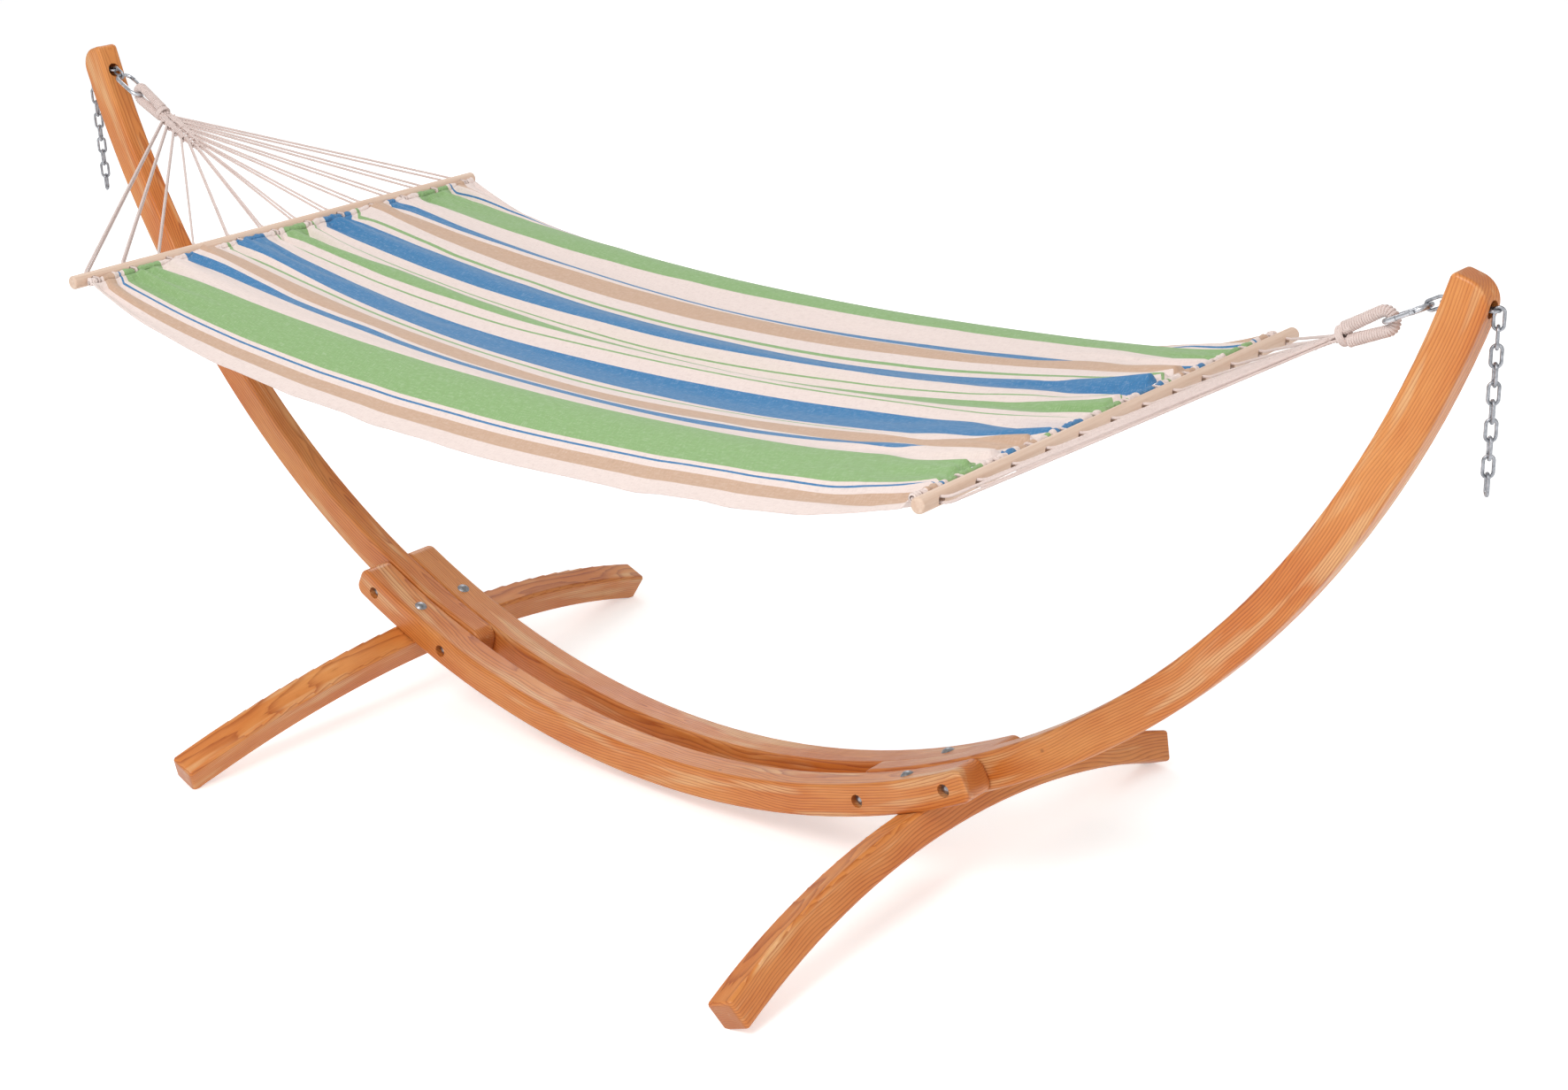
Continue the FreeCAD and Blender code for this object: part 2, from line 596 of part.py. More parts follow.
def rounded_path(points, radii):
    """Straight runs joined by tangent arcs; radii has one number for each inner point."""
    edges, last = [], points[0]
    for before, corner, after, radius in zip(points, points[1:], points[2:], radii):
        back = (before - corner).normalize()
        ahead = (after - corner).normalize()
        half = back.getAngle(ahead) / 2
        reach = radius / math.tan(half)
        start, end = corner + back * reach, corner + ahead * reach
        centre = corner + (back + ahead).normalize() * (radius / math.sin(half))
        middle = centre + (corner - centre).normalize() * radius
        if (start - last).Length > 0.01:
            edges.append(Part.LineSegment(last, start).toShape())
        edges.append(Part.Arc(start, middle, end).toShape())
        last = end
    edges.append(Part.LineSegment(last, points[-1]).toShape())
    return Part.Wire(edges)


def tube(path, radius):
    start = path.Edges[0].Vertexes[0].Point
    direction = path.Edges[0].tangentAt(path.Edges[0].FirstParameter)
    ring = Part.Wire(Part.makeCircle(radius, start, direction))
    return path.makePipeShell([ring], True, False)


def cord_points(number):
    """One doubled cord at the right end: from the clew, round the hem rope, and back."""
    y = cord_y(number)
    turn = size("hem_rope_radius") + size("cord_diameter") / 2 + size("link_gap")
    tilt = Placement(HOOK_BOW, Rotation(Vector(0, 1, 0), 180 - size("pull_slope")))
    leave = tilt.multVec(clew_exit(number))
    apart = Vector(0, 0, size("cord_diameter") / 2 + size("link_gap"))
    mouth = size("bar_x") + size("bar_radius") + 1.6 * size("cord_diameter")
    back = size("bar_x") - size("hem_offset") - turn
    legs = []
    for side in (1, -1):
        legs.append([leave + apart * side, Vector(mouth, y, BAR_Z + side * turn),
                     Vector(back, y, BAR_Z + side * turn)])
    return legs[0] + legs[1][::-1], turn


def make_cords():
    """Twelve doubled cords at each end, each one long tube bent round the hem rope."""
    right = []
    for number in range(int(size("cord_count"))):
        points, turn = cord_points(number)
        bend = 3 * size("cord_diameter")
        path = rounded_path(points, [bend, turn, turn, bend])
        cord = tube(path, size("cord_diameter") / 2)
        print("cord %d length %.1f mm, bends %.1f and %.1f mm"
              % (number, path.Length, bend, turn))
        right.append(cord)
    both_ends("cords", Part.makeCompound(right))


def make_bar():
    """A round spreader bar across the bed, drilled for each doubled cord."""
    half = size("bar_length") / 2
    bar = doc.addObject("Part::Cylinder", "bar_blank")
    bar.setExpression("Radius", "Sizes.bar_radius")
    bar.setExpression("Height", "Sizes.bar_length")
    bar.Placement = Placement(Vector(size("bar_x"), -half, BAR_Z), Rotation(Vector(1, 0, 0), -90))
    doc.recompute()
    ends = [edge for edge in bar.Shape.Edges if edge.BoundBox.YLength < 1]
    blank = bar.Shape.makeFillet(size("bar_radius") / 3, ends)
    turn = size("hem_rope_radius") + size("cord_diameter") / 2 + size("link_gap")
    hole = turn + size("cord_diameter") / 2 + size("hole_gap")
    holes = []
    for number in range(int(size("cord_count"))):
        behind = Vector(size("bar_x") - 2 * size("bar_radius"), cord_y(number), BAR_Z)
        holes.append(Part.makeCylinder(hole, 4 * size("bar_radius"), behind, Vector(1, 0, 0)))
    both_ends("bar", blank.cut(holes))
    doc.removeObject(bar.Name)


# Heights of the bed's billows across its width, from the front edge to the rear one, as shares
# of bed_billow; and how far each place hangs below the middle part, as shares of bed_edge_drop.
BILLOWS = ((-1, 0), (-0.9, 0.1), (-0.78, 0.55), (-0.63, 1), (-0.47, 0.35), (-0.3, -0.5),
           (-0.12, 0.1), (0.02, 0.3), (0.18, -0.4), (0.38, 0.3), (0.6, 0.85), (0.78, 0.95),
           (0.9, 0.5), (1, 0))
EDGE_DROPS = ((-1, 1), (-0.9, 0.72), (-0.78, 0.3), (-0.63, 0), (0.78, 0), (0.9, 0.3), (1, 0.75))
BED_STATIONS = (-1, -0.97, -0.9, -0.75, -0.5, -0.25, 0, 0.25, 0.5, 0.75, 0.9, 0.97, 1)


def share_at(table, place):
    """The value at a place, between a table's neighbouring entries."""
    for (x0, y0), (x1, y1) in zip(table, table[1:]):
        if x0 <= place <= x1:
            return y0 + (y1 - y0) * (place - x0) / (x1 - x0)


def make_bed():
    """The hem ropes, and the cloth between them as one thin closed sheet that sags and billows."""
    hem_x = size("bar_x") - size("hem_offset")
    half = size("bar_length") / 2 - size("bed_inset")
    both_ends("hem_rope", rod(size("hem_rope_radius"), Vector(hem_x, -half, BAR_Z),
                              Vector(hem_x, half, BAR_Z)))
    turn = size("hem_rope_radius") + size("cord_diameter") + size("link_gap")
    end_x = hem_x - turn - size("soft_gap")
    sag, thick = size("bed_sag"), size("bed_thickness")
    radius = (end_x ** 2 + sag ** 2) / (2 * sag)
    rows = []
    for along in BED_STATIONS:
        x = along * end_x
        hang = BAR_Z - sag + radius - math.sqrt(radius ** 2 - x ** 2)
        row = []
        for across, share in BILLOWS:
            rise = size("bed_billow") * share * (1 - along ** 2)
            drop = size("bed_edge_drop") * share_at(EDGE_DROPS, across) * (1 - along ** 8)
            y = across * (half - size("bed_waist") * (1 - along ** 2))
            row.append(Vector(x, y, hang + rise - drop + thick / 2))
        rows.append(row)
    surface = Part.BSplineSurface()
    surface.interpolate(rows)
    solid_node("bed", surface.toShape().extrude(Vector(0, 0, -thick)))


def check_and_write():
    """Stop on any failed object or bad shape, then write each node to its own file."""
    doc.recompute()
    for item in doc.Objects:
        if any(word in item.State for word in ("Invalid", "Error")):
            raise RuntimeError("%s failed: %s" % (item.Label, item.State))
    os.makedirs(NODE_FOLDER, exist_ok=True)
    for piece in nodes:
        shape = piece.Shape
        if shape.isNull() or not shape.isValid() or not shape.Solids:
            raise RuntimeError("%s has no valid shape" % piece.Label)
        shape.exportStep(os.path.join(NODE_FOLDER, piece.Label + ".step"))
    print("%d nodes; circle centre at %.5f mm, pivot at x %.5f mm and height %.5f mm"
          % (len(nodes), ARC_CENTRE_Z, FIRST_BOW_X, BORE_HEIGHT))
    print("hook bow at %.5f, %.5f; last bow at %.5f; link step %.3f mm"
          % (HOOK_BOW.x, HOOK_BOW.z, LAST_BOW_X, LINK_STEP))


make_arm("right_arm", 1)
make_arm("left_arm", -1)
make_beam("front_beam", -1)
make_beam("rear_beam", 1)
make_foot("right_foot", 1)
make_foot("left_foot", -1)
make_fasteners()
make_chain_pins()
make_chain()
make_hook()
make_eye()
make_clew()
make_cords()
make_bar()
make_bed()
check_and_write()
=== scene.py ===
"""Looks for the hammock on its curved timber stand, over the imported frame. Metres, +Z up."""
import bpy
import json
import math
import numpy as np
from mathutils import Matrix, Vector


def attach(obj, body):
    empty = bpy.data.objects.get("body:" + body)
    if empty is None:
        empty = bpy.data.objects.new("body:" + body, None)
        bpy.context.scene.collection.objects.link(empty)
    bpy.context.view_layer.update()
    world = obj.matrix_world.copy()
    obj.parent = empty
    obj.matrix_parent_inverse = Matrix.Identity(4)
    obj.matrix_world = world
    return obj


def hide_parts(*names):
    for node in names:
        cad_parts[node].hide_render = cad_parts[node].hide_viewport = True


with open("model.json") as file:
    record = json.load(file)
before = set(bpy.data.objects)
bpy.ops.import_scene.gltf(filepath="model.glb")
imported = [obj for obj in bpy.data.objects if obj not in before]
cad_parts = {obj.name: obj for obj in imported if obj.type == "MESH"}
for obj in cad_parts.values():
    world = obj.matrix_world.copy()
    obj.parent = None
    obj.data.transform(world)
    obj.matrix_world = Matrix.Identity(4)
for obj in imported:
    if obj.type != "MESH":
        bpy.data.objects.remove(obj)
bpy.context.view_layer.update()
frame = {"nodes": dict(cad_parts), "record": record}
rng = np.random.default_rng(7)

# ------------------------------------------------------------------ camera
YAW, PITCH, ROLL = (math.radians(a) for a in (41.576, 21.341, -1.843))
CAMERA_PLACE = (3.0556, -3.1050, 2.1534)
FOCAL_MM = 59.343


def make_camera():
    ahead = Vector((-math.sin(YAW) * math.cos(PITCH), math.cos(YAW) * math.cos(PITCH),
                    -math.sin(PITCH)))
    level = Vector((math.cos(YAW), math.sin(YAW), 0))
    upright = level.cross(ahead)
    right = level * math.cos(ROLL) + upright * math.sin(ROLL)
    up = upright * math.cos(ROLL) - level * math.sin(ROLL)
    data = bpy.data.cameras.new("camera")
    data.lens, data.sensor_width, data.sensor_fit = FOCAL_MM, 36, "HORIZONTAL"
    data.clip_end = 200
    camera = bpy.data.objects.new("camera", data)
    turn = Matrix((right, up, -ahead)).transposed().to_4x4()
    camera.matrix_world = Matrix.Translation(CAMERA_PLACE) @ turn
    bpy.context.collection.objects.link(camera)
    bpy.context.scene.camera = camera


make_camera()

# ------------------------------------------------------------------ shared places of the CAD
SLOPE = math.radians(26.8)
HOOK_BOW = Vector((1.48386, 0, 1.156378))
PIVOT_X, PIVOT_Z = 1.500953, 1.165012
BAR_X, BAR_RADIUS, BAR_LENGTH, BAR_END_MARGIN = 0.990, 0.0125, 1.0, 0.04075
BAR_Z = PIVOT_Z - (PIVOT_X - BAR_X) * math.tan(SLOPE)
HEM_X = BAR_X - 0.024
HEM_ROPE_RADIUS, CORD_GAP, SOFT_GAP = 0.00225, 0.0001, 0.00035
CORD_COUNT, CORD = 12, 0.0045
OUTERMOST = (CORD_COUNT - 1) / 2
TURN = HEM_ROPE_RADIUS + CORD / 2 + CORD_GAP
HOOK_LENGTH, HOOK_WIRE = 0.0800, 0.008
EYE_BOW, EYE_RADIUS, EYE_LEG = 0.0145, 0.009, 0.064
EYE_LEG_START = HOOK_LENGTH - HOOK_WIRE * 1.5 - EYE_RADIUS - SOFT_GAP + EYE_BOW
BAND_START = EYE_LEG_START + EYE_LEG
CLEW_START = BAND_START + 0.013
CLEW_LENGTH, CLEW_HALF = 0.135, 0.023
CLEW_OUTLINE = ((0, 0.55), (0.22, 1), (0.45, 0.95), (0.75, 0.6), (1, 0.22))
ENDS = (("right", 1), ("left", -1))


def to_pull(points, side):
    """Points drawn along +X from the hook's bow, turned to run along an end's pull."""
    p = np.atleast_2d(np.asarray(points, float))
    c, s = math.cos(SLOPE), math.sin(SLOPE)
    out = np.stack([HOOK_BOW.x - p[:, 0] * c + p[:, 2] * s, p[:, 1],
                    HOOK_BOW.z - p[:, 0] * s - p[:, 2] * c], axis=1)
    return out * np.array([side, side, 1])


def clew_width(along):
    """Half width of the clew at a share of its length."""
    return float(np.interp(along, *zip(*CLEW_OUTLINE))) * CLEW_HALF


def clew_exit(number):
    """Where a cord leaves the clew, along +X from the hook's bow; outer cords leave first."""
    way = 1 if number > OUTERMOST else -1
    along = 0.1 + 0.85 * (1 - abs(number - OUTERMOST) / OUTERMOST)
    return (CLEW_START + along * CLEW_LENGTH, way * (clew_width(along) - CORD), 0)


def cord_y(number):
    """Where a cord crosses the spreader bar."""
    return (number / OUTERMOST - 1) * (BAR_LENGTH / 2 - BAR_END_MARGIN)


# ------------------------------------------------------------------ meshes in code

def new_object(name, verts, faces, smooth=True):
    mesh = bpy.data.meshes.new(name)
    mesh.from_pydata([tuple(v) for v in verts], [], [tuple(f) for f in faces])
    mesh.validate()
    if smooth:
        mesh.polygons.foreach_set("use_smooth", [True] * len(mesh.polygons))
    obj = bpy.data.objects.new(name, mesh)
    bpy.context.collection.objects.link(obj)
    return obj


def resample(points, step):
    """Points spaced evenly along a line, and how far along it each one lies."""
    points = np.asarray(points, float)
    run = np.concatenate([[0], np.cumsum(np.linalg.norm(np.diff(points, axis=0), axis=1))])
    count = max(4, int(run[-1] / step))
    at = np.linspace(0, run[-1], count)
    return np.stack([np.interp(at, run, points[:, k]) for k in range(3)], axis=1), at


def frames_along(points):
    """Tangents and two normals that don't twist, at each point of a line."""
    tangents = np.gradient(points, axis=0)
    tangents /= np.linalg.norm(tangents, axis=1)[:, None]
    first = np.cross(tangents[0], (0.13, 0.31, 0.94))
    normals = [first / np.linalg.norm(first)]
    for t in tangents[1:]:
        n = normals[-1] - t * np.dot(normals[-1], t)
        normals.append(n / np.linalg.norm(n))
    normals = np.array(normals)
    return tangents, normals, np.cross(tangents, normals)


def tube(points, radius, sides=12, lobes=0, depth=0.0, pitch=1.0, run=None):
    """Rings and faces of a tube; lobes twist along it once a pitch, as a rope's strands do."""
    points = np.asarray(points, float)
    _, n, b = frames_along(points)
    angle = np.linspace(0, 2 * math.pi, sides, endpoint=False)
    radius = np.broadcast_to(np.asarray(radius, float), (len(points),))[:, None]
    reach = np.repeat(radius, sides, axis=1)
    if lobes:
        phase = angle[None, :] - 2 * math.pi * np.asarray(run)[:, None] / pitch
        reach = reach * (1 - depth + depth * np.abs(np.cos(lobes / 2 * phase)))
    ring = (n[:, None, :] * np.cos(angle)[None, :, None]
            + b[:, None, :] * np.sin(angle)[None, :, None]) * reach[:, :, None]
    verts = (points[:, None, :] + ring).reshape(-1, 3)
    faces = []
    for i in range(len(points) - 1):
        for j in range(sides):
            k = (j + 1) % sides
            faces.append((i * sides + j, i * sides + k, (i + 1) * sides + k, (i + 1) * sides + j))
    last = (len(points) - 1) * sides
    faces.append(tuple(range(sides))[::-1])
    faces.append(tuple(range(last, last + sides)))
    return verts, faces


def merged(name, parts):
    """One object from several (verts, faces) pairs."""
    verts, faces, start = [], [], 0
    for v, f in parts:
        verts.append(v)
        faces += [tuple(i + start for i in face) for face in f]
        start += len(v)
    return new_object(name, np.concatenate(verts), faces)


# ------------------------------------------------------------------ cords

def spline_points(name, controls):
    """Points of a smooth quadratic spline with these control points."""
    data = bpy.data.curves.new(name, "CURVE")
    data.dimensions = "3D"
    data.resolution_u = 48
    spline = data.splines.new("NURBS")
    spline.points.add(len(controls) - 1)
    for point, place in zip(spline.points, controls):
        point.co = (*place, 1)
    spline.order_u = 3
    spline.use_endpoint_u = True
    guide = bpy.data.objects.new(name, data)
    bpy.context.collection.objects.link(guide)
    mesh = bpy.data.meshes.new_from_object(guide)
    points = np.array([v.co for v in mesh.vertices], float)
    bpy.data.meshes.remove(mesh)
    bpy.data.objects.remove(guide)
    return points


def cord_route(number, side):
    """From the clew through the bar, round the hem rope and back, as control points."""
    leave = Vector(to_pull(clew_exit(number), 1)[0])
    y = cord_y(number)
    mouth_x = BAR_X + BAR_RADIUS + 1.6 * CORD
    back_x = HEM_X - TURN
    legs = []
    for way in (1, -1):
        start = leave + Vector((0, 0, way * (CORD / 2 + CORD_GAP)))
        mouth = Vector((mouth_x, y, BAR_Z + way * TURN))
        near = mouth + (start - mouth).normalized() * 6 * CORD
        back = Vector((back_x, y, BAR_Z + way * TURN))
        legs.append([start, near, mouth, back + Vector((2 * TURN, 0, 0)), back])
    route = legs[0] + legs[1][::-1]
    return [(p.x * side, p.y * side, p.z) for p in route]


# Each cord's real length, from the edge to the middle; both halves of both ends are alike.
STRAND_PITCH, COVER = 0.019, 1.06
cords = []
for end, side in ENDS:
    for number in range(CORD_COUNT):
        route = cord_route(number, side)
        line, run = resample(spline_points("guide", route), 0.0016)
        verts, faces = tube(line, CORD / 2 * COVER, 12, lobes=3, depth=0.24, pitch=STRAND_PITCH,
                            run=run)
        cord = new_object("%s_cord_%d" % (end, number + 1), verts, faces)
        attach(cord, "hammock")
        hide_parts(end + "_cords")
        cords.append(cord)

# ------------------------------------------------------------------ materials

class Graph:
    """A material's nodes, with short calls to add and link them."""

    def __init__(self, name):
        self.material = bpy.data.materials.new(name)
        self.material.use_nodes = True
        self.tree = self.material.node_tree
        self.tree.nodes.clear()
        self.shader = self.add("ShaderNodeBsdfPrincipled")
        output = self.add("ShaderNodeOutputMaterial")
        self.tree.links.new(self.shader.outputs[0], output.inputs["Surface"])

    def add(self, kind, inputs=(), **settings):
        node = self.tree.nodes.new(kind)
        for key, value in settings.items():
            setattr(node, key, value)
        for key, value in dict(inputs).items():
            self.put(node.inputs[key], value)
        return node

    def put(self, socket, value):
        if isinstance(value, bpy.types.NodeSocket):
            self.tree.links.new(value, socket)
        else:
            socket.default_value = value

    def math(self, operation, a, b=0.0, c=0.0):
        return self.add("ShaderNodeMath", {0: a, 1: b, 2: c}, operation=operation).outputs[0]

    def vector(self, operation, a, b):
        return self.add("ShaderNodeVectorMath", {0: a, 1: b}, operation=operation).outputs[0]

    def xyz(self, x, y, z):
        return self.add("ShaderNodeCombineXYZ", {0: x, 1: y, 2: z}).outputs[0]

    def noise(self, at, scale, detail=2.0, rough=0.5):
        node = self.add("ShaderNodeTexNoise", {"Vector": at, "Scale": scale, "Detail": detail,
                                               "Roughness": rough})
        return node.outputs["Fac"]

    def ramp(self, factor, stops, interpolation="LINEAR"):
        node = self.add("ShaderNodeValToRGB", {0: factor})
        ramp = node.color_ramp
        ramp.interpolation = interpolation
        while len(ramp.elements) < len(stops):
            ramp.elements.new(0.5)
        for element, (place, colour) in zip(ramp.elements, stops):
            element.position = place
        for element, (place, colour) in zip(ramp.elements, stops):
            element.color = (*colour, 1) if len(colour) == 3 else colour
        return node.outputs[0]

    def mix(self, factor, a, b, blend="MIX"):
        node = self.add("ShaderNodeMix", data_type="RGBA", blend_type=blend)
        for key, value in ((0, factor), (6, a), (7, b)):
            if not isinstance(value, bpy.types.NodeSocket) and key > 0:
                value = (*value, 1)
            self.put(node.inputs[key], value)
        return node.outputs[2]

    def span(self, value, low, high, to_low=0.0, to_high=1.0):
        node = self.add("ShaderNodeMapRange", {0: value, 1: low, 2: high, 3: to_low, 4: to_high})
        return node.outputs[0]

    def bump(self, height, distance, strength=1.0, under=None):
        inputs = {"Height": height, "Distance": distance, "Strength": strength}
        if under is not None:
            inputs["Normal"] = under
        return self.add("ShaderNodeBump", inputs).outputs[0]

    def finish(self, colour, roughness, normal=None, **others):
        self.put(self.shader.inputs["Base Color"], colour)
        self.put(self.shader.inputs["Roughness"], roughness)
        if normal is not None:
            self.put(self.shader.inputs["Normal"], normal)
        for key, value in others.items():
            self.put(self.shader.inputs[key.replace("_", " ")], value)
        return self.material


ARC_CENTRE, ARC_RADIUS = (0, 0, 1.681316), 1.625
FOOT_RADIUS, FOOT_LEAN = 1.709, math.radians(22.5)
BEAM_HALF, FOOT_HALF, FOOT_NOTCH = 0.030, 0.029, 0.003
LIGHT_WOOD, MID_WOOD, DARK_WOOD = (0.78, 0.315, 0.082), (0.67, 0.205, 0.034), (0.38, 0.074, 0.007)
SAPWOOD, KNOT = (0.84, 0.50, 0.23), (0.18, 0.050, 0.012)
END_GRAIN, SCUFF = (0.42, 0.13, 0.035), (0.30, 0.10, 0.03)
RING_SPACING = 0.0045


def timber(name, seed, pith, centre=ARC_CENTRE, radius=ARC_RADIUS, lean=0.0, foot=False,
           spacing=RING_SPACING):
    """Larch sawn along an arc: growth rings about a wandering pith, sap stripes, knots, end grain."""
    g = Graph(name)
    place = g.add("ShaderNodeTexCoord").outputs["Object"]
    place = g.vector("SUBTRACT", place, centre)
    normal = g.add("ShaderNodeNewGeometry").outputs["Normal"]
    if foot:
        turned = []
        for v in (place, normal):
            node = g.add("ShaderNodeVectorRotate", {"Vector": v, "Angle": lean},
                         rotation_type="Y_AXIS")
            turned.append(node.outputs[0])
        place, normal = turned
    x, y, z = g.add("ShaderNodeSeparateXYZ", {0: place}).outputs[:3]
    nx, ny, nz = g.add("ShaderNodeSeparateXYZ", {0: normal}).outputs[:3]
    if foot:
        side, across, down, n_side, n_down = y, x, z, ny, nz
    else:
        side, across, down, n_side, n_down = x, y, g.math("MULTIPLY", z, -1), nx, g.math(
            "MULTIPLY", nz, -1)
    angle = g.math("ARCTAN2", side, down)
    away = g.math("SQRT", g.math("ADD", g.math("MULTIPLY", side, side),
                                 g.math("MULTIPLY", down, down)))
    along = g.math("MULTIPLY", angle, radius)
    depth = g.math("SUBTRACT", away, radius)
    wander = g.xyz(g.math("ADD", along, seed * 7.31), seed * 3.7, 0.0)
    shift_y = g.math("MULTIPLY", g.math("SUBTRACT", g.noise(wander, 1.7, 2), 0.5), 0.09)
    shift_z = g.math("MULTIPLY", g.math("SUBTRACT", g.noise(wander, 2.6, 2), 0.5), 0.05)
    off_y = g.math("SUBTRACT", g.math("SUBTRACT", across, pith[0]), shift_y)
    off_z = g.math("SUBTRACT", g.math("SUBTRACT", depth, pith[1]), shift_z)
    grain_at = g.xyz(g.math("MULTIPLY", along, 0.06), g.math("ADD", across, seed), depth)
    waver = g.math("MULTIPLY", g.noise(grain_at, 60, 3, 0.6), 0.006)
    reach = g.math("SQRT", g.math("ADD", g.math("MULTIPLY", off_y, off_y),
                                  g.math("MULTIPLY", off_z, off_z)))
    rings = g.math("DIVIDE", g.math("ADD", reach, waver), spacing)
    within = g.math("FRACT", rings)
    late = g.ramp(within, [(0, (0.25,) * 3), (0.12, (0.0,) * 3), (0.55, (0.15,) * 3),
                           (0.86, (0.75,) * 3), (0.95, (1.0,) * 3), (1, (0.3,) * 3)])
    broad = g.noise(g.xyz(g.math("MULTIPLY", along, 0.25), g.math("ADD", across, seed * 2.0),
                          depth), 16, 3, 0.55)
    fibre_at = g.xyz(g.math("MULTIPLY", along, 0.02), across, depth)
    fibre = g.noise(fibre_at, 900, 3, 0.7)
    base = g.mix(g.span(broad, 0.35, 0.65), MID_WOOD, LIGHT_WOOD)
    sap = g.noise(g.xyz(g.math("MULTIPLY", along, 0.10), g.math("ADD", across, seed * 5.0), depth),
                  34, 2, 0.5)
    base = g.mix(g.span(sap, 0.56, 0.66, 0.0, 0.75), base, SAPWOOD)
    colour = g.mix(g.math("MULTIPLY", late, g.span(broad, 0.3, 0.7, 0.95, 0.55)), base, DARK_WOOD)
    colour = g.mix(g.span(fibre, 0.35, 0.75, 0.0, 0.28), colour, DARK_WOOD)
    knots = g.add("ShaderNodeTexVoronoi", {"Vector": g.xyz(
        g.math("MULTIPLY", along, 0.8), g.math("ADD", across, seed), depth), "Scale": 8.5})
    spot = g.math("MULTIPLY", g.span(knots.outputs["Distance"], 0.035, 0.055, 1.0, 0.0),
                  g.span(g.add("ShaderNodeSeparateColor", {0: knots.outputs["Color"]}).outputs[0],
                         0.45, 0.5, 1.0, 0.0))
    halo = g.span(knots.outputs["Distance"], 0.04, 0.13, 0.35, 0.0)
    colour = g.mix(halo, colour, MID_WOOD)
    colour = g.mix(spot, colour, KNOT)
    sine, cosine = g.math("SINE", angle), g.math("COSINE", angle)
    end_on = g.math("ABSOLUTE", g.math("SUBTRACT", g.math("MULTIPLY", n_side, cosine),
                                       g.math("MULTIPLY", n_down, sine)))
    end_grain = g.span(end_on, 0.75, 0.95)
    colour = g.mix(g.math("MULTIPLY", end_grain, 0.55), colour, END_GRAIN)
    scuff = g.noise(place, 22, 4, 0.65)
    colour = g.mix(g.span(scuff, 0.62, 0.8, 0.0, 0.18), colour, SCUFF)
    rough = g.math("ADD", g.math("MULTIPLY", fibre, 0.16), g.span(scuff, 0.3, 0.7, 0.30, 0.42))
    relief = g.bump(fibre, 0.0002, 0.55, g.bump(late, 0.0003, 0.5))
    return g.finish(colour, rough, relief, Specular_IOR_Level=0.45, Coat_Weight=0.18,
                    Coat_Roughness=0.25)


def metal(name, tint, roughness, dull):
    """Zinc-plated steel: a mottled bright skin with duller, rougher patches and fine pits."""
    g = Graph(name)
    place = g.add("ShaderNodeTexCoord").outputs["Object"]
    patches, fine = g.noise(place, 130, 4, 0.6), g.noise(place, 1500, 3, 0.6)
    colour = g.mix(g.span(patches, 0.38, 0.68), tint, dull)
    colour = g.mix(g.span(fine, 0.62, 0.8, 0.0, 0.4), colour, (0.20, 0.20, 0.21))
    rough = g.math("ADD", g.span(patches, 0.3, 0.7, roughness, roughness + 0.18),
                   g.math("MULTIPLY", fine, 0.1))
    return g.finish(colour, rough, g.bump(fine, 0.00012, 0.4), Metallic=1.0)


def cotton(name, tint, shade, grain=1600):
    """Natural cotton cord: fibre-scale mottling, partly the fibres' own tone and partly painted shade
    between them, and broad random patches of painted shade that stand in for the shade where the cord
    lies deep.
    """
    g = Graph(name)
    place = g.add("ShaderNodeTexCoord").outputs["Object"]
    fine, broad = g.noise(place, grain, 3, 0.7), g.noise(place, 45, 3, 0.6)
    # shade is a painted shade colour, mixed in by fine fibre noise and by broad noise
    colour = g.mix(g.span(fine, 0.3, 0.75, 0.0, 0.55), tint, shade)
    colour = g.mix(g.span(broad, 0.45, 0.75, 0.0, 0.25), colour, shade)
    return g.finish(colour, 0.92, g.bump(fine, 0.0004, 0.6), Sheen_Weight=0.25,
                    Specular_IOR_Level=0.15)


def bar_wood(name):
    """Turned pale softwood, its grain along Y."""
    g = Graph(name)
    place = g.add("ShaderNodeTexCoord").outputs["Object"]
    x, y, z = g.add("ShaderNodeSeparateXYZ", {0: place}).outputs[:3]
    at = g.xyz(x, g.math("MULTIPLY", y, 0.03), z)
    grain, fibre = g.noise(at, 120, 3, 0.6), g.noise(at, 1100, 3, 0.7)
    colour = g.mix(g.span(grain, 0.35, 0.65), (0.80, 0.62, 0.50), (0.70, 0.50, 0.38))
    colour = g.mix(g.span(fibre, 0.4, 0.8, 0.0, 0.3), colour, (0.55, 0.33, 0.19))
    return g.finish(colour, 0.55, g.bump(fibre, 0.0002, 0.4), Specular_IOR_Level=0.35)


CREAM, GREEN = (0.86, 0.725, 0.675), (0.275, 0.455, 0.190)
BLUE, TAN = (0.048, 0.215, 0.45), (0.62, 0.415, 0.295)
# Half of the cloth's pattern, from its middle to an edge: where each stripe ends, and its colour.
HALF_PATTERN = ((0.027, GREEN), (0.046, CREAM), (0.050, GREEN), (0.078, CREAM), (0.145, BLUE),
                (0.163, CREAM), (0.168, GREEN), (0.196, CREAM), (0.240, TAN), (0.252, CREAM),
                (0.272, BLUE), (0.335, CREAM), (0.418, GREEN), (0.427, CREAM), (0.433, BLUE),
                (0.443, CREAM), (0.465, TAN), (0.5, CREAM))


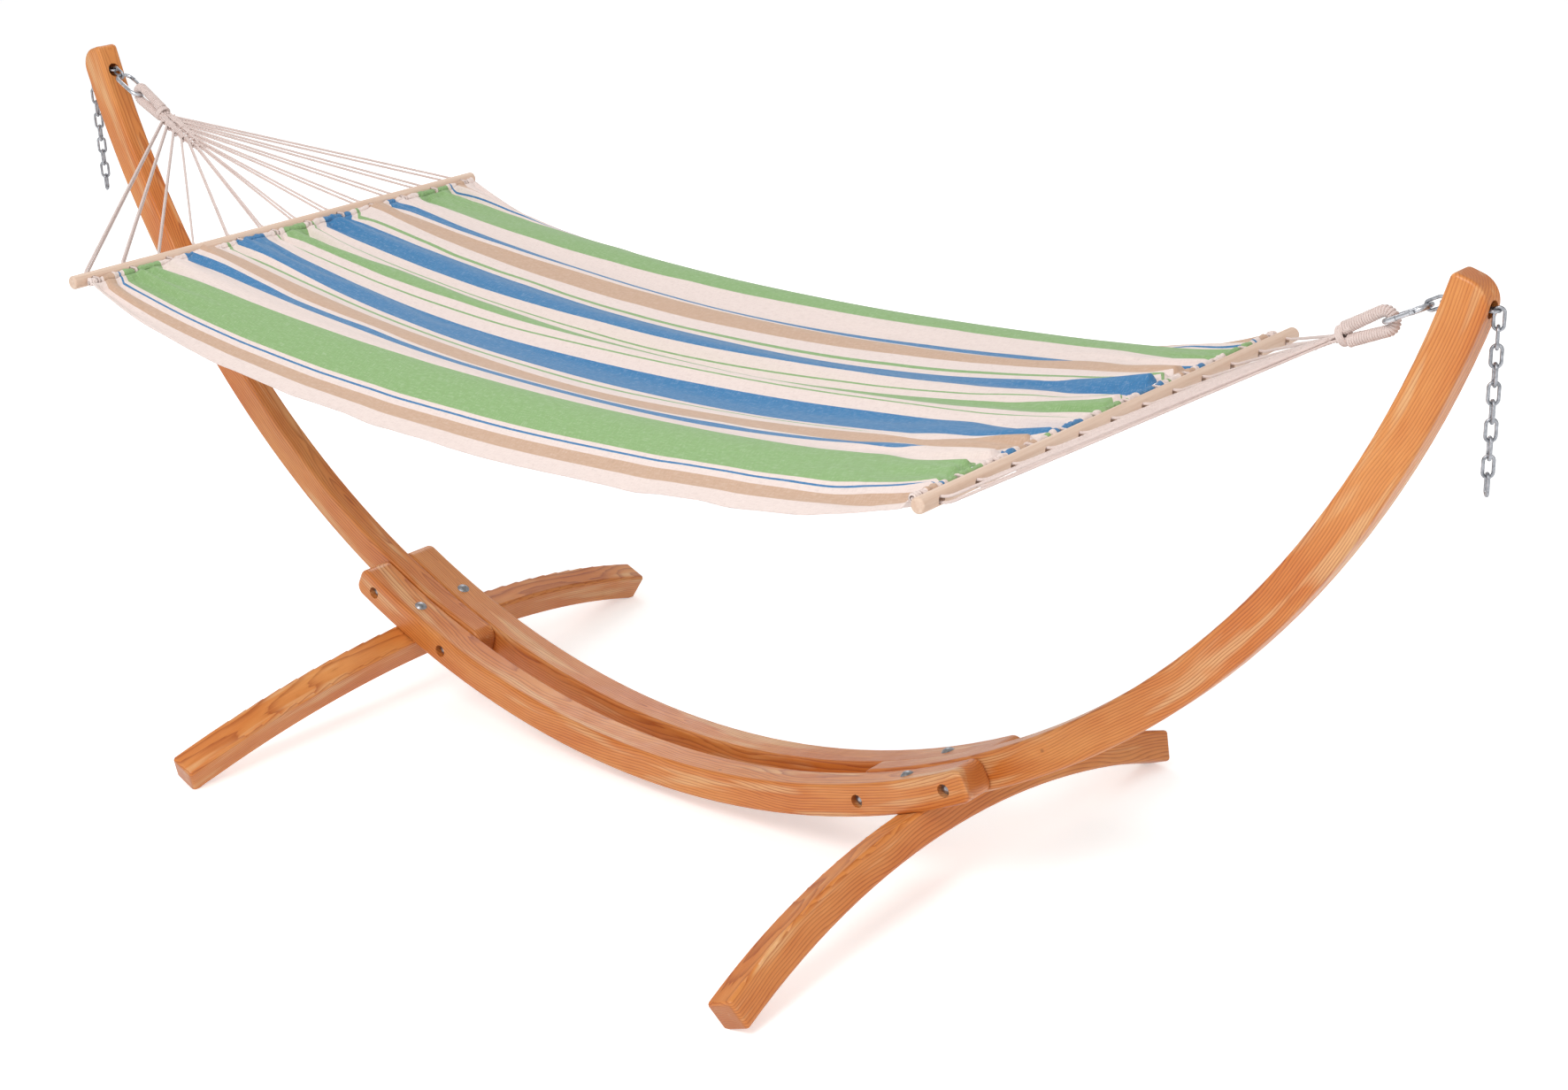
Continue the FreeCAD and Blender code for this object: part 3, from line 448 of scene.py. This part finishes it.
def striped_cloth(name):
    """Woven cotton with lengthwise stripes, flecked yarns and a plain weave's relief."""
    g = Graph(name)
    flat = g.add("ShaderNodeUVMap", uv_map="flat").outputs[0]
    u, v, _ = g.add("ShaderNodeSeparateXYZ", {0: flat}).outputs[:3]
    stray = g.math("MULTIPLY", g.math("SUBTRACT", g.noise(g.xyz(g.math("MULTIPLY", u, 900),
                   g.math("MULTIPLY", v, 1500), 0), 1.0, 1), 0.5), 0.0012)
    half = g.math("ABSOLUTE", g.math("ADD", g.math("SUBTRACT", u, 0.5), stray))
    stops, start = [], 0.0
    for end, colour in HALF_PATTERN:
        stops.append((start, colour))
        start = end
    colour = g.ramp(half, stops, "CONSTANT")
    yarn_at = g.xyz(g.math("MULTIPLY", u, 620), g.math("MULTIPLY", v, 110), 0)
    weft_at = g.xyz(g.math("MULTIPLY", u, 90), g.math("MULTIPLY", v, 1250), 0)
    warp, weft = g.noise(yarn_at, 1.0, 2), g.noise(weft_at, 1.0, 2)
    fleck = g.math("MULTIPLY", g.math("ADD", warp, weft), 0.5)
    colour = g.mix(g.span(fleck, 0.35, 0.5, 0.17, 0.0), colour, (0.93, 0.88, 0.82))
    colour = g.mix(g.span(fleck, 0.5, 0.68, 0.0, 0.20), colour, (0.30, 0.22, 0.18))
    two_pi = 2 * math.pi
    over = g.math("MULTIPLY", g.math("SINE", g.math("MULTIPLY", u, two_pi * 480)),
                  g.math("SINE", g.math("MULTIPLY", v, two_pi * 940)))
    place = g.add("ShaderNodeTexCoord").outputs["Object"]
    crumple = g.noise(place, 55, 4, 0.6)
    relief = g.bump(crumple, 0.004, 0.35)
    relief = g.bump(over, 0.0006, 0.30, relief)
    relief = g.bump(fleck, 0.0008, 0.35, relief)
    return g.finish(colour, 0.93, relief, Sheen_Weight=0.2, Specular_IOR_Level=0.12)


MATERIALS = {
    "galvanised_steel": metal("galvanised_steel", (0.44, 0.45, 0.48), 0.30, (0.24, 0.25, 0.27)),
    "bright_steel": metal("bright_steel", (0.60, 0.61, 0.64), 0.22, (0.38, 0.39, 0.42)),
    # the cord's second colour is painted shade, a dimmed copy of its tint
    "cotton_cord": cotton("cotton_cord", (0.82, 0.69, 0.645), (0.50, 0.375, 0.335)),
    "pale_wood": bar_wood("pale_wood"),
    "striped_cotton": striped_cloth("striped_cotton"),
}


def foot_timber(name, side, seed, pith):
    """A foot's wood, along its own arch, which leans with the beams' ends."""
    reach = ARC_RADIUS + BEAM_HALF + FOOT_RADIUS + FOOT_HALF - FOOT_NOTCH
    centre = (side * reach * math.sin(FOOT_LEAN), 0,
              ARC_CENTRE[2] - reach * math.cos(FOOT_LEAN))
    return timber(name, seed, pith, centre, FOOT_RADIUS, side * FOOT_LEAN, foot=True)


TIMBERS = {
    "left_arm": timber("larch_left_arm", 1.3, (0.012, -0.045)),
    "right_arm": timber("larch_right_arm", 2.9, (-0.03, -0.050)),
    "front_beam": timber("larch_front_beam", 4.2, (-0.035, -0.075)),
    "rear_beam": timber("larch_rear_beam", 5.6, (0.056, -0.030)),
    "left_foot": foot_timber("larch_left_foot", -1, 7.4, (0.02, -0.06)),
    "right_foot": foot_timber("larch_right_foot", 1, 8.8, (-0.02, -0.05)),
}
for node, obj in frame["nodes"].items():
    record_slot = next(part["material_slot"] for part in frame["record"]["subparts"]
                       if part["node"] == node)
    material = TIMBERS.get(node) or MATERIALS[record_slot]
    if not obj.material_slots:
        obj.data.materials.append(material)
    for material_slot in obj.material_slots:
        material_slot.material = material


def paint(obj, name):
    """Give a piece one of the shared materials."""
    obj.data.materials.append(MATERIALS[name])


for cord in cords:
    paint(cord, "cotton_cord")

# ------------------------------------------------------------------ eyes, bands and clews
WHIP = 0.0021


def eye_line():
    """The middle of the eye's bundle, from the band round the loop and back, in its own plane."""
    foot_x, foot_z = BAND_START + 0.002, 0.0095
    arc = [(EYE_LEG_START - EYE_BOW * math.sin(a), EYE_BOW * math.cos(a))
           for a in np.linspace(0, math.pi, 25)]
    points = [(foot_x, foot_z)] + arc + [(foot_x, -foot_z)]
    return np.array([(x, 0, z) for x, z in points])


def make_whipping(end, side):
    """The loop's whipping, turn by turn, over its bundle, with the neck's bundle behind it."""
    line, run = resample(eye_line(), 0.001)
    share = run / run[-1]
    bundle = 0.0089 + 0.0013 * np.abs(2 * share - 1) ** 2
    turns = int(run[-1] / 0.0041)
    at = np.linspace(0, 1, turns * 22)
    middle = np.stack([np.interp(at, share, line[:, k]) for k in range(3)], axis=1)
    radius = np.interp(at, share, bundle) - WHIP
    ahead = np.gradient(middle, axis=0)
    ahead /= np.linalg.norm(ahead, axis=1)[:, None]
    flat = np.cross(ahead, (0, 1, 0))
    theta = 2 * math.pi * turns * at
    jitter = 1 + 0.025 * np.sin(theta / 7.3) * np.sin(theta / 3.1 + 1)
    coil = (middle + flat * (radius * jitter * np.cos(theta))[:, None]
            + np.array([[0, 1, 0]]) * (radius * jitter * np.sin(theta))[:, None])
    parts = [tube(to_pull(coil, side), WHIP, 8), tube(to_pull(line, side), bundle - WHIP, 12)]
    for way in (-1, 1):
        for row in range(3):
            start = np.array([BAND_START - 0.012, (row - 1) * 0.006, way * 0.0078])
            stop = np.array([CLEW_START + 0.004, (row - 1) * 0.0065, way * 0.0040])
            strand, strand_run = resample(np.array([start, stop]), 0.001)
            parts.append(tube(to_pull(strand, side), 0.0034, 9, 3, 0.25, 0.016, strand_run))
    eye = merged(end + "_eye_whipping", parts)
    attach(eye, "hammock")
    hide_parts(end + "_eye")
    paint(eye, "cotton_cord")


def make_binding(end, side):
    """Two layers of cord wound round the eye's neck."""
    turns, cord_radius = 3, 0.0022
    theta = np.linspace(0, 2 * math.pi * turns, turns * 40)
    x = np.linspace(BAND_START + cord_radius, CLEW_START - cord_radius, len(theta))
    rings = [tube(to_pull(np.stack([x, r * np.cos(theta + lag), r * np.sin(theta + lag)], 1), side),
                  cord_radius, 10, 3, 0.22, 0.014, theta * r)
             for r, lag in ((0.0142, 0.0), (0.0122, 2.1))]
    band = merged(end + "_eye_binding", rings)
    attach(band, "hammock")
    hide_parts(end + "_eye_band")
    paint(band, "cotton_cord")


def make_clew(end, side):
    """The plaited triangle: the cords' own ends, with crossing cords woven over and under them."""
    parts = []
    radius = 0.0022
    for number in range(CORD_COUNT):
        goal = np.array(clew_exit(number))
        spread = (number / (CORD_COUNT - 1) - 0.5) * 2
        for way in (-1, 1):
            start = np.array([CLEW_START - 0.004, spread * 0.0105, way * 0.0028])
            strand, run = resample(np.array([start, goal + (0.006, 0, way * 0.0023)]), 0.0013)
            bulge = np.sin(np.linspace(0, math.pi, len(strand)))
            strand[:, 1] += np.sign(spread) * 0.004 * bulge * (1 - abs(spread))
            strand[:, 2] += way * 0.0007 * np.sin(run / 0.0045 + number)
            parts.append(tube(to_pull(strand, side), radius, 9, 3, 0.24, 0.016, run))
    rows = 11
    for row in range(rows):
        share = 0.04 + 0.80 * row / (rows - 1)
        half = max(clew_width(share) - radius * 0.6, 0.006)
        y = np.linspace(-half, half, 60)
        phase = math.pi * row
        z = 0.0042 * np.sin(y / 0.0058 * math.pi / 2 + phase)
        lean = 0.006 * (y / half) * (1 if row % 2 else -1)
        strand = np.stack([CLEW_START + share * CLEW_LENGTH + lean + 0 * y, y, z], 1)
        strand, run = resample(strand, 0.0013)
        parts.append(tube(to_pull(strand, side), 0.0019, 9, 3, 0.24, 0.015, run))
    clew = merged(end + "_clew_plait", parts)
    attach(clew, "hammock")
    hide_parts(end + "_clew")
    paint(clew, "cotton_cord")


for end, side in ENDS:
    make_whipping(end, side)
    make_binding(end, side)
    make_clew(end, side)

# ------------------------------------------------------------------ cloth
END_X = HEM_X - TURN - CORD / 2 - SOFT_GAP
BED_HALF, BED_WAIST = 0.480, 0.012
SAG, EDGE_DROP = 0.088, 0.038
# Heights of the cloth's billows across its middle, from the front edge to the rear one, and how
# far each place hangs below the middle part, as shares of EDGE_DROP.
BILLOWS = ((-1, -0.006), (-0.93, -0.001), (-0.86, 0.015), (-0.78, 0.029), (-0.72, 0.034),
           (-0.66, 0.028), (-0.58, 0.012), (-0.48, 0.002), (-0.36, -0.010), (-0.25, -0.017),
           (-0.17, -0.018), (-0.11, 0.004), (-0.06, 0.016), (-0.01, 0.010), (0.05, -0.010),
           (0.1, -0.010), (0.16, 0.008), (0.21, 0.012), (0.28, 0), (0.34, -0.003),
           (0.42, 0.010), (0.49, 0.019), (0.55, 0.008), (0.6, 0.006), (0.68, 0.022),
           (0.76, 0.034), (0.84, 0.030), (0.92, 0.006), (1, -0.006))
EDGE_DROPS = ((-1, 1), (-0.9, 0.72), (-0.78, 0.3), (-0.63, 0), (0.78, 0), (0.9, 0.3), (1, 0.75))


def smooth_table(table, at):
    """A table's values at many places, eased by a short running mean."""
    fine = np.linspace(-1, 1, 401)
    values = np.interp(fine, *zip(*table))
    window = np.hanning(21)
    padded = np.pad(values, 10, mode="reflect", reflect_type="odd")
    return np.interp(at, fine, np.convolve(padded, window / window.sum(), "valid"))


def wave(at, count):
    """A smooth random line with about count swells over -1..1, between -1 and 1."""
    knots = rng.uniform(-1, 1, count * 2 + 3)
    place = (at + 1) / 2 * (count * 2)
    cell = np.clip(np.floor(place).astype(int), 0, count * 2)
    share = place - cell
    share = share * share * (3 - 2 * share)
    return knots[cell] * (1 - share) + knots[cell + 1] * share


# Pleats at a hem and ripples down the cloth: how many across it, how high, and how far they run.
PLEATS = ((13, 0.0120, 0.34), (27, 0.0085, 0.15), (52, 0.0046, 0.060))
RIPPLES = ((6, 0.0035), (15, 0.0016))
CLOTH_ROWS, CLOTH_COLUMNS, CLOTH_THICKNESS = 420, 380, 0.0014
HEM_CROWDING = 1.2566


def cloth_grid(rows, columns):
    """The bed's middle surface as a grid of points, with each point's share across the cut."""
    v = np.linspace(-1, 1, rows)
    along = np.sin(v * HEM_CROWDING) / math.sin(HEM_CROWDING)
    across = np.linspace(-1, 1, columns)
    a, t = np.meshgrid(along, across, indexing="ij")
    x = a * END_X
    radius = (END_X ** 2 + SAG ** 2) / (2 * SAG)
    hang = BAR_Z - SAG + radius - np.sqrt(radius ** 2 - x ** 2)
    rise = smooth_table(BILLOWS, t + 0.03 * np.sin(a * 1.7)) * (1 - np.abs(a) ** 2.6)
    drop = EDGE_DROP * smooth_table(EDGE_DROPS, t) * (1 - a ** 8)
    z = hang + rise - drop
    y = t * (BED_HALF - BED_WAIST * (1 - a ** 2))
    # pleats that fan out from each hem, finer and deeper towards it
    for way in (-1, 1):
        away = (1 - way * a) * END_X
        ease = np.clip(away / 0.010, 0.25, 1)
        for count, height, reach in PLEATS:
            drift = 0.35 / count * wave(np.clip(away / 0.6 * 2 - 1, -1, 1), 3)
            swell = wave(np.clip(t + drift, -1, 1), count)
            crease = np.sign(swell) * np.abs(swell) ** 0.8
            reach_here = reach * (0.65 + 0.7 * np.abs(wave(t, count // 2)))
            z += height * crease * ease * np.exp(-(away / reach_here) ** 1.5)
    # long soft ripples down the cloth
    for count, height in RIPPLES:
        drift = 0.12 * wave(a, 2)
        z += height * wave(np.clip(t + drift, -1, 1), count) * (1 - a ** 4)
    # selvedges that flutter a little
    edge = np.clip((np.abs(t) - 0.93) / 0.07, 0, 1)
    z += 0.003 * edge * wave(a, 14)
    points = np.stack([x, y, z], axis=2)
    steps = np.linalg.norm(np.diff(points, axis=1), axis=2)
    run = np.concatenate([np.zeros((rows, 1)), np.cumsum(steps, axis=1)], axis=1)
    return points, run / run[:, -1:]


def add_flat(obj, u, v):
    """A UV layer that says where each point lies in the cut cloth."""
    layer = obj.data.uv_layers.new(name="flat")
    index = np.zeros(len(obj.data.loops), int)
    obj.data.loops.foreach_get("vertex_index", index)
    uv = np.stack([u.ravel()[index], v.ravel()[index]], axis=1)
    layer.data.foreach_set("uv", uv.ravel())


def grid_faces(rows, columns, wrap=False):
    """Faces of a grid of points, closed into a sleeve where it wraps."""
    faces = []
    for i in range(rows - 1):
        for j in range(columns if wrap else columns - 1):
            k = (j + 1) % columns
            faces.append((i * columns + j, (i + 1) * columns + j, (i + 1) * columns + k,
                          i * columns + k))
    return faces


def make_bed():
    """The cloth from hem to hem."""
    points, across = cloth_grid(CLOTH_ROWS, CLOTH_COLUMNS)
    bed = new_object("bed_cloth", points.reshape(-1, 3), grid_faces(CLOTH_ROWS, CLOTH_COLUMNS))
    add_flat(bed, across, points[:, :, 0] / (2 * END_X) + 0.5)
    solid = bed.modifiers.new("thickness", "SOLIDIFY")
    solid.thickness, solid.offset = CLOTH_THICKNESS, 0
    return bed


EDGE_GAP, CORD_OPENING = 0.0005, 0.0042


def make_hem(end, side):
    """The sleeve on the hem rope: bunched between one cord and the next, and open at each."""
    parts, us, vs = [], [], []
    places = [-BED_HALF] + [cord_y(n) for n in range(CORD_COUNT)] + [BED_HALF]
    for number, (low, high) in enumerate(zip(places, places[1:])):
        low_gap = EDGE_GAP if number == 0 else CORD_OPENING
        high_gap = EDGE_GAP if number == CORD_COUNT else CORD_OPENING
        rows, sides = max(10, int((high - low) / 0.0009)), 26
        y = np.linspace(low + low_gap, high - high_gap, rows)
        t = np.linspace(-1, 1, rows)
        angle = np.linspace(0, 2 * math.pi, sides, endpoint=False)
        swell = 0.0069 + 0.0011 * wave(t, 5) + 0.0005 * wave(t, 11)
        swell = swell - 0.0028 * np.clip((np.abs(t) - 0.80) / 0.20, 0, 1) ** 1.5
        lump = 1 + 0.07 * np.sin(angle[None, :] * 3 + 5 * wave(t, 4)[:, None])
        reach = swell[:, None] * lump
        x = side * (HEM_X + reach * np.cos(angle)[None, :])
        z = BAR_Z + reach * np.sin(angle)[None, :] + 0.0008 * wave(t, 3)[:, None]
        points = np.stack([x, np.repeat(y[:, None], sides, 1), z], axis=2)
        parts.append((points.reshape(-1, 3), grid_faces(rows, sides, wrap=True)))
        us.append(np.repeat(((y + BED_HALF) / (2 * BED_HALF))[:, None], sides, 1).ravel())
        vs.append(np.repeat((angle / 60)[None, :], rows, 0).ravel())
    hem = merged("%s_hem_sleeve" % end, parts)
    add_flat(hem, np.concatenate(us), np.concatenate(vs))
    return hem


bed = make_bed()
hems = [make_hem(end, side) for end, side in ENDS]
for piece in [bed] + hems:
    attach(piece, "hammock")
    paint(piece, "striped_cotton")
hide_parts("bed")

# ------------------------------------------------------------------ room and light
WORLD_LIGHT = 0.60
FLOOR_LIFT = 0.42


def make_floor():
    """A pale floor that keeps the shadow and shows white to the camera, glass and metal."""
    reach = 40
    floor = new_object("floor", [(-reach, -reach, 0), (reach, -reach, 0), (reach, reach, 0),
                                 (-reach, reach, 0)], [(0, 1, 2, 3)], smooth=False)
    floor.location.z = -0.0005
    g = Graph("pale_floor")
    ray = g.add("ShaderNodeLightPath").outputs
    seen = g.math("MAXIMUM", ray["Is Camera Ray"], g.math(
        "MAXIMUM", ray["Is Glossy Ray"], ray["Is Transmission Ray"]))
    floor.data.materials.append(g.finish(
        (0.95, 0.95, 0.95, 1), 0.9, Specular_IOR_Level=0.1,
        Emission_Color=(1, 1, 1, 1), Emission_Strength=g.math("MULTIPLY", seen, FLOOR_LIFT)))


def area_light(name, place, target, width, power):
    """A round soft lamp at a place, turned to its target."""
    data = bpy.data.lights.new(name, "AREA")
    data.shape, data.size, data.energy = "DISK", width, power
    lamp = bpy.data.objects.new(name, data)
    aim = Vector(target) - Vector(place)
    lamp.matrix_world = (Matrix.Translation(place)
                         @ aim.to_track_quat("-Z", "Y").to_matrix().to_4x4())
    bpy.context.collection.objects.link(lamp)


make_floor()
area_light("key", (0.6, -3.9, 4.6), (0, 0, 0.7), 2.8, 150)
area_light("fill", (5.0, -0.8, 2.6), (0.6, 0, 0.7), 2.6, 32)
area_light("back", (-3.6, 3.4, 3.6), (-0.3, 0, 0.7), 3.0, 60)

world = bpy.data.worlds.new("studio")
world.use_nodes = True
world.node_tree.nodes["Background"].inputs[0].default_value = (1, 1, 1, 1)
world.node_tree.nodes["Background"].inputs[1].default_value = WORLD_LIGHT
bpy.context.scene.world = world
scene = bpy.context.scene
scene.view_settings.view_transform = "Standard"
scene.view_settings.look = "None"
scene.view_settings.exposure = 0
scene.view_settings.gamma = 1
